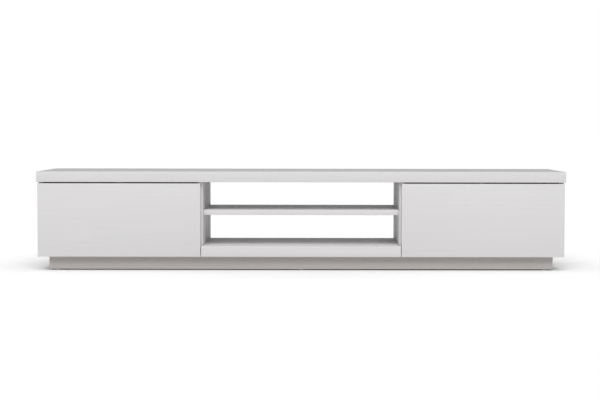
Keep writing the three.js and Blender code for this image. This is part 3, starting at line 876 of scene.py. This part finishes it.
# %% Stay base
low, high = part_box("right_stay_base")
plate_x = high.x - 3 * MM
base = add_box("right_stay_base_fitting", (plate_x, low.y, low.z), high)
round_edges(base, 6 * MM, 6, along("X"))
round_edges(base, 0.6 * MM, 2, below("X", plate_x))
boss_x = block_pivot.x + 8.3 * MM
boss = add_bar("boss", "X", 8 * MM, boss_x, high.x - MM, block_pivot, 64)
round_edges(boss, 0.8 * MM, 3, below("X", boss_x))
stub = add_bar("stub", "X", STUB_RADIUS, low.x, high.x - MM, block_pivot, 48)
round_edges(stub, 0.5 * MM, 2, below("X", low.x))
weld(base, boss, stub)
base_holes = [block_pivot + Vector((0, 0, end * 18 * MM)) for end in (-1, 1)]
for hole in base_holes:
    carve(base, add_bar("hole", "X", HOLE_RADIUS, plate_x - MM, high.x + MM, hole, 24))
hand_over_pair(base, CARCASS, (nickel,), ("right_stay_base",))
drive_screws("stay_base", [Vector((plate_x, hole.y, hole.z)) for hole in base_holes], (-1, 0, 0), CARCASS)
print("stay base has", len(base.data.polygons), "faces")

# %% [markdown]
# ## Flap bracket
# An angle of folded steel holds the rod on the flap: a plate with two screws, and a lug with a
# round end that carries the rivet. The rod's eye turns on the rivet, and a spring clip keeps it
# on. The angle is welded from plain boxes and a bar; a wider box along the fold stiffens it.

# %% Flap bracket
low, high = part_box("right_stay_bracket")
LUG_RADIUS = 6 * MM
plate_y = low.y + 2.5 * MM
lug_x = high.x - 3 * MM
bracket = add_box("right_stay_bracket_fitting", low, (high.x, plate_y, high.z))
round_edges(bracket, 3 * MM, 5, lambda a, b: along("Y")(a, b) and a.x < lug_x)
lug_low = (lug_x, low.y + MM, rod_pivot.z - LUG_RADIUS)
lug = add_box("lug", lug_low, (high.x, rod_pivot.y, rod_pivot.z + LUG_RADIUS))
eye = add_bar("eye", "X", LUG_RADIUS, lug_x, high.x, rod_pivot, 64)
web_low = (lug_x, plate_y - MM, rod_pivot.z - 10 * MM)
web = add_box("web", web_low, (high.x, plate_y + 3 * MM, rod_pivot.z + 10 * MM))
round_edges(web, 2.8 * MM, 4, lambda a, b: along("X")(a, b) and min(a.y, b.y) > plate_y)
rivet = add_bar("rivet", "X", RIVET_RADIUS, low.x + 8.5 * MM, high.x, rod_pivot, 48)
clip = add_bar("clip", "X", 3.8 * MM, rod_pivot.x - 4.1 * MM, rod_pivot.x - 3.4 * MM, rod_pivot, 48)
weld(bracket, lug, eye, web, rivet, clip)
bracket_holes = [Vector((rod_pivot.x - 8 * MM, plate_y, rod_pivot.z + end * 12 * MM)) for end in (-1, 1)]
for hole in bracket_holes:
    carve(bracket, add_bar("hole", "Y", HOLE_RADIUS, low.y - MM, plate_y + MM, hole, 24))
hand_over_pair(bracket, FLAP, (nickel,), ("right_stay_bracket",))
drive_screws("stay_bracket", bracket_holes, (0, 1, 0), FLAP)
print("bracket has", len(bracket.data.polygons), "faces")

# %% [markdown]
# ## Push latches
# A press on the flap lets a spring plunger push it out far enough to grip, so the flap needs no
# handle. The latch is a moulded barrel with fixing ears, and grooves on each side to hold it by.
# Each groove is a cut with a small box, which leaves ribs standing between them; welding thin
# ribs on would give the same shape with more faces that touch.

# %% Latch body
low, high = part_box("right_latch_body")
GROOVES = 5
SHAFT_RADIUS = 4 * MM
latch_x = (low.x + high.x) / 2
latch_z = high.z - 11.7 * MM
middle = Vector((latch_x, 0, latch_z))
barrel = add_box(
    "right_latch_body_fitting", (latch_x - 9 * MM, low.y, low.z), (latch_x + 9 * MM, high.y, high.z)
)
round_edges(barrel, 2 * MM, 4, lambda a, b: along("Y")(a, b) and a.z < latch_z)
round_edges(barrel, 0.6 * MM, 2, below("Y", low.y))
ears = add_box("ears", (low.x, high.y - 26 * MM, high.z - 3 * MM), high)
round_edges(ears, 5 * MM, 5, along("Z"))
weld(barrel, ears)
for end in (-1, 1):
    for step in range(GROOVES):
        start = low.y + (6 + 4 * step) * MM
        side = sorted((latch_x + end * 8.3 * MM, latch_x + end * 10 * MM))
        groove_low = (side[0], start, low.z + 4 * MM)
        carve(barrel, add_box("grip", groove_low, (side[1], start + 2 * MM, high.z - 6 * MM)))
bore_radius = SHAFT_RADIUS + 0.3 * MM
carve(barrel, add_bar("barrel_bore", "Y", bore_radius, low.y - MM, low.y + 44 * MM, middle, 48))
ear_holes = [Vector((latch_x + end * 15 * MM, high.y - 13 * MM, high.z - 3 * MM)) for end in (-1, 1)]
for hole in ear_holes:
    carve(barrel, add_bar("hole", "Z", HOLE_RADIUS, hole.z - MM, high.z + MM, hole, 24))
hand_over_pair(barrel, CARCASS, (white_plastic,), ("right_latch_body",))
drive_screws("latch", ear_holes, (0, 0, -1), CARCASS)
print("latch body has", len(barrel.data.polygons), "faces")

# %% [markdown]
# ## Latch plunger
# The plunger is a moulded pin with a wider tip, and a small magnet is sunk into the tip. The
# tip's face is inset and pushed in by edit-mode operators, and that sunk face gets the metal.

# %% Latch plunger
TIP_RADIUS = 5.5 * MM
low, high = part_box("right_latch_plunger")
plunger = add_bar("right_latch_plunger_fitting", "Y", TIP_RADIUS, low.y, low.y + 3 * MM, middle, 64)
round_edges(plunger, 0.8 * MM, 3, below("Y", low.y))
sink_face(plunger, lambda centre, normal: normal.y < -0.99, 1.2 * MM, 0.25 * MM)
weld(plunger, add_bar("shaft", "Y", SHAFT_RADIUS, low.y + 2 * MM, high.y, middle, 48))
for face in plunger.data.polygons:
    flat = face.normal.y < -0.99 and (face.center - middle).xz.length < 2 * MM
    face.material_index = 1 if flat and face.center.y < low.y + MM else 0
finishes = (grey_plastic, nickel)
latch_plunger = "right_latch_plunger"  # the body and its only node share one name
hand_over_pair(plunger, latch_plunger, finishes, (latch_plunger,))
print("plunger is", round((high.y - low.y) / MM, 1), "mm long")

# %% [markdown]
# ## Strike plate
# The magnet pulls on a thin steel plate on the back of the flap. It is a plate with round
# corners, held by two screws that are smaller than the rest, so that they clear the plunger.

# %% Strike plate
low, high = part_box("right_strike_plate")
strike = add_box("right_strike_plate_fitting", low, high)
round_edges(strike, 3 * MM, 5, along("Y"))
round_edges(strike, 0.3 * MM, 2, above("Y", high.y))
hand_over_pair(strike, FLAP, (nickel,), ("right_strike_plate",))
strike_holes = [Vector((latch_x + end * 9 * MM, high.y, latch_z)) for end in (-1, 1)]
drive_screws("strike", strike_holes, (0, 1, 0), FLAP, scale=0.75)
print("screws driven:", screws)

# %% [markdown]
# ## Cover caps
# The boards are pulled together by round fittings sunk into their inner faces, and a thin white
# cap closes each one. The cap is a shallow disc with a rounded rim, and its middle is inset and
# pushed in. One cap is made and copied, turned to face out of each board.

# %% Cover caps
CAP_RADIUS = 8.5 * MM
CAP_HEIGHT = 0.8 * MM
cap = add_bar("cap", "Z", CAP_RADIUS, 0, CAP_HEIGHT, sides=48)
round_edges(cap, 0.5 * MM, 2, above("Z", CAP_HEIGHT))
sink_face(cap, lambda centre, normal: normal.z > 0.99, 1.5 * MM, 0.25 * MM)
side_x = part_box("right_side_panel")[0].x
divider_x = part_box("right_divider")[1].x
cap_rows = (-130 * MM, 140 * MM)  # front and back
heights = (270 * MM, 98 * MM)
for name, x, facing in (("side", side_x, (-1, 0, 0)), ("divider", divider_x, (1, 0, 0))):
    for number, (y, z) in enumerate((y, z) for y in cap_rows for z in heights):
        cover = copy_piece(cap, f"right_{name}_cap_{number}", (x, y, z), facing)
        hand_over_pair(cover, CARCASS, (white_plastic,))
shelf_low, shelf_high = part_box("bay_shelf")
for number, y in enumerate(cap_rows):
    place = (shelf_high.x - 24 * MM, y, shelf_low.z)
    cover = copy_piece(cap, f"right_shelf_cap_{number}", place, (0, 0, -1))
    hand_over_pair(cover, CARCASS, (white_plastic,))
for blank in (cap, screw):
    bpy.data.objects.remove(blank)
print("caps:", sum("_cap_" in name for name in handed))

# %% [markdown]
# ## Glides
# Six nylon glides keep the plinth off the floor. Each is a short bar with a rounded foot and a
# sunk middle, where its nail sits. They hardly show, but they leave the thin dark line under
# the plinth that a board flat on the floor would not.

# %% Glides
GLIDE_RADIUS = 8 * MM
for row in ("front", "back"):
    for column in ("left", "middle", "right"):
        node = f"glide_{row}_{column}"
        low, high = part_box(node)
        glide = add_bar(f"{node}_foot", "Z", GLIDE_RADIUS, low.z, high.z, (low + high) / 2, 48)
        round_edges(glide, 1.2 * MM, 3, below("Z", low.z))
        sink_face(glide, lambda centre, normal: normal.z < -0.99, 3 * MM, 1 * MM)
        hand_over(glide, CARCASS, (glide_nylon,), (node,))
print("pieces handed over:", len(handed))

# %% [markdown]
# ## Studio floor
# The floor is a plain matt sheet, far larger than the view so that no edge shows. It shows
# itself paler than it bounces, so that it reads as white paper while the plinth keeps its own
# soft shade. A curved sweep would do as well, but the white room behind already hides the end.

# %% Floor
FLOOR_SIZE = 60
floor_finish, floor_shader = new_finish("studio_floor", 0.9)
floor_shader.inputs["Specular IOR Level"].default_value = 0.0
seen_floor = floor_finish.node_tree.nodes.new("ShaderNodeLightPath")
bounced = (0.515, 0.515, 0.515, 1)
shown = (0.78, 0.78, 0.785, 1)
floor_colour = add_mix(floor_finish, seen_floor.outputs["Is Camera Ray"], bounced, shown)
connect(floor_finish, floor_colour, floor_shader, "Base Color")
clear_selection()
bpy.ops.mesh.primitive_plane_add(size=FLOOR_SIZE, location=(0, 0, 0))
floor = settle("studio_floor")
floor.data.materials.append(floor_finish)
print("floor is", FLOOR_SIZE, "m wide")

# %% [markdown]
# ## Surround
# The stand is lit a little from all sides. What the camera and the gloss of the boards see is a
# white room, brighter than that light, as in a studio with white walls out of the lamps' reach.
# One bright room for all would light the shelf and the bay from behind and wash their shade out.

# %% Surround
scene = bpy.context.scene
scene.view_settings.view_transform = "Standard"
world = bpy.data.worlds.new("surround")
scene.world = world
world.use_nodes = True
room = world.node_tree.nodes["Background"]
room.inputs["Color"].default_value = (1, 1, 1, 1)
rays = world.node_tree.nodes.new("ShaderNodeLightPath")
strength = None
LIT = 0.175  # the room's light on the stand
GLOSS_EXTRA = 0.20
for ray, extra in (("Is Camera Ray", 1 - LIT), ("Is Glossy Ray", GLOSS_EXTRA)):
    step = world.node_tree.nodes.new("ShaderNodeMath")
    step.operation = "MULTIPLY_ADD"
    step.inputs[1].default_value = extra
    step.inputs[2].default_value = LIT
    world.node_tree.links.new(rays.outputs[ray], step.inputs[0])
    if strength:
        world.node_tree.links.new(strength, step.inputs[2])
    strength = step.outputs["Value"]
world.node_tree.links.new(strength, room.inputs["Strength"])
print("room lights the stand with", LIT)

# %% [markdown]
# ## Soft boxes
# One broad soft box in front and above lights the stand. A second one, overhead, is linked to the
# floor alone, as a flag would keep its light off the stand, and draws the shadow round the foot.
# Both are distant lights with a wide angle: an area lamp close by would fade across the floor
# and leave its far side grey.

# %% Soft boxes
def add_softbox(name, power, height, side, spread):
    """A large soft light far away, at a height above the horizon and a turn to one side."""
    data = bpy.data.lights.new(name, "SUN")
    data.energy = power
    data.angle = math.radians(spread)
    light = bpy.data.objects.new(name, data)
    light.rotation_euler = (math.radians(90 - height), 0, math.radians(side))
    scene.collection.objects.link(light)
    return light


add_softbox("front_softbox", 2.12, 46, 0, 48)
overhead = add_softbox("floor_softbox", 2.05, 90, 0, 136)
floor_only = bpy.data.collections.new("floor_only")
floor_only.objects.link(floor)
overhead.light_linking.receiver_collection = floor_only
print("lights:", [light.name for light in bpy.data.lights])
